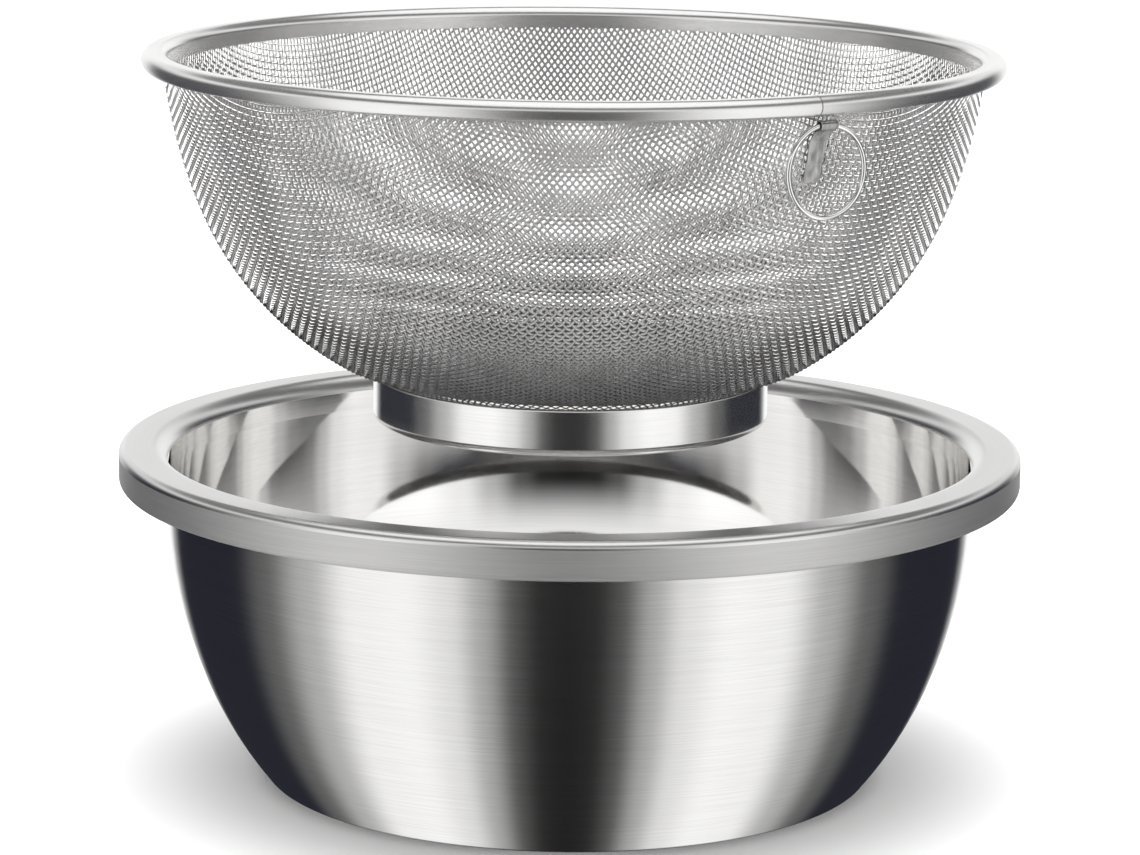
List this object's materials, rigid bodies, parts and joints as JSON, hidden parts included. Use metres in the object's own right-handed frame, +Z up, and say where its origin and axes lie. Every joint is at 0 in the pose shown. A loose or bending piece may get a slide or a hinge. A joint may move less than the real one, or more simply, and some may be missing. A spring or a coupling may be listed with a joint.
{
  "type": "strainer and bowl set",
  "caption": "Deep steel mixing bowl with a folded rim, and a woven mesh strainer basket with a foot ring and a hang ring that lifts out of it.",
  "frame": {"origin": "centre of the bowl's flat underside", "axes": "+Z up along the common axis of bowl and strainer; -Y towards the hang ring"},
  "size_m": [0.28, 0.28, 0.2274],
  "materials": {
    "bowl_steel": "satin brushed outside, mirror polished inside and on the rim",
    "mesh_wire": "bright drawn wire, plain weave",
    "polished_steel": "polished stainless strip and wire",
    "core_steel": "plain drawn wire, hidden in the rim"
  },
  "bodies": {
    "bowl": {"bowl_shell": "bowl_steel"},
    "strainer": {"mesh_basket": "mesh_wire", "rim_strip": "polished_steel", "rim_wire": "core_steel", "foot_ring": "polished_steel", "hang_tab": "polished_steel"},
    "hang_ring": {"hang_ring": "polished_steel"}
  },
  "joints": [
    {"name": "strainer_lift", "type": "slide", "parent": "bowl", "child": "strainer", "axis": [0, 0, 1], "range_m": [-0.111, 0]},
    {"name": "ring_swing", "type": "hinge", "parent": "strainer", "child": "hang_ring", "pos_m": [0, -0.1294, 0.21885], "axis": [-1, 0, 0], "range_deg": [0, 80]}
  ],
  "couplings": [
    {"joint": "ring_swing", "follows": "strainer_lift", "rad_per_m": -12.57}
  ]
}
